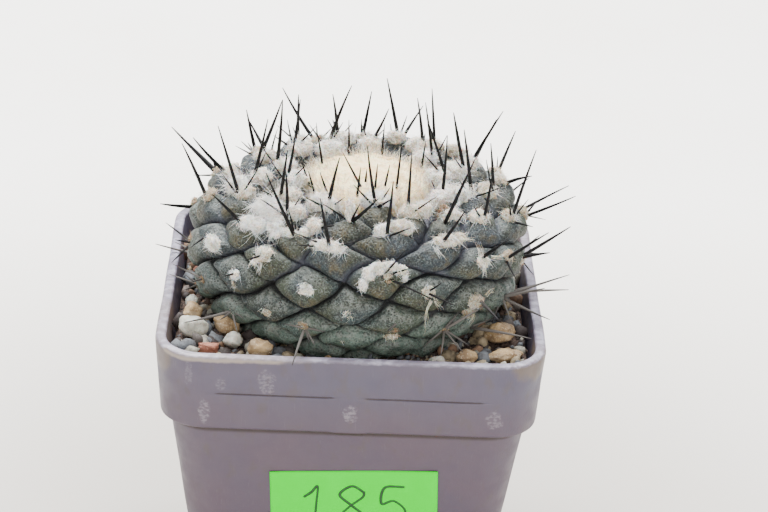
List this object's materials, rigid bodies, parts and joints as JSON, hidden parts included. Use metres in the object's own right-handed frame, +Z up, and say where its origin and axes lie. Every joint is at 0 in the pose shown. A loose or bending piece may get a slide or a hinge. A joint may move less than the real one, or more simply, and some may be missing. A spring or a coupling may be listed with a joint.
{
  "type": "potted cactus",
  "caption": "Small round ribless cactus with spined tubercles and a woolly crown, standing in gravelly soil in a square tapered plastic pot with a deep collar.",
  "frame": {"origin": "middle of the underside of the pot's base pad, on the surface that the pot stands on", "axes": "+Z up, the labelled side of the pot faces -Y, +X to the right seen from that side"},
  "size_m": [0.0806, 0.0836, 0.1001],
  "materials": {
    "pot_plastic": "matte moulded polypropylene, mauve grey, with lime stains and a worn rim",
    "label_paper": "fluorescent green self-adhesive paper",
    "soil": "dark crumbly soil with grit",
    "plant_skin": "dull grey-green skin with a waxy bloom and fine pale specks",
    "wool": "cream and white plant wool",
    "spine": "black needle spines that turn grey with age",
    "quartz": "pale rolled quartz",
    "sandstone": "tan and ochre stone",
    "brick": "rust-red stone",
    "slate": "blue-grey slate"
  },
  "bodies": {
    "root": {"pot": "pot_plastic", "label": "label_paper", "soil": "soil", "cactus": "plant_skin", "crown_wool": "wool", "pebble_01": "quartz", "pebble_02": "sandstone", "pebble_03": "sandstone", "pebble_04": "quartz", "pebble_05": "brick", "pebble_06": "quartz", "pebble_07": "sandstone", "pebble_08": "slate", "pebble_09": "slate", "pebble_10": "sandstone", "pebble_11": "sandstone", "pebble_12": "sandstone", "pebble_13": "quartz", "pebble_14": "slate", "pebble_15": "slate", "pebble_16": "sandstone", "pebble_17": "brick", "pebble_18": "slate", "pebble_19": "sandstone", "pebble_20": "quartz", "pebble_21": "slate", "pebble_22": "sandstone", "pebble_23": "brick", "pebble_24": "slate", "pebble_25": "sandstone", "pebble_26": "quartz", "pebble_27": "slate", "pebble_28": "sandstone", "pebble_29": "brick", "pebble_30": "slate", "pebble_31": "sandstone", "pebble_32": "quartz"}
  },
  "joints": []
}
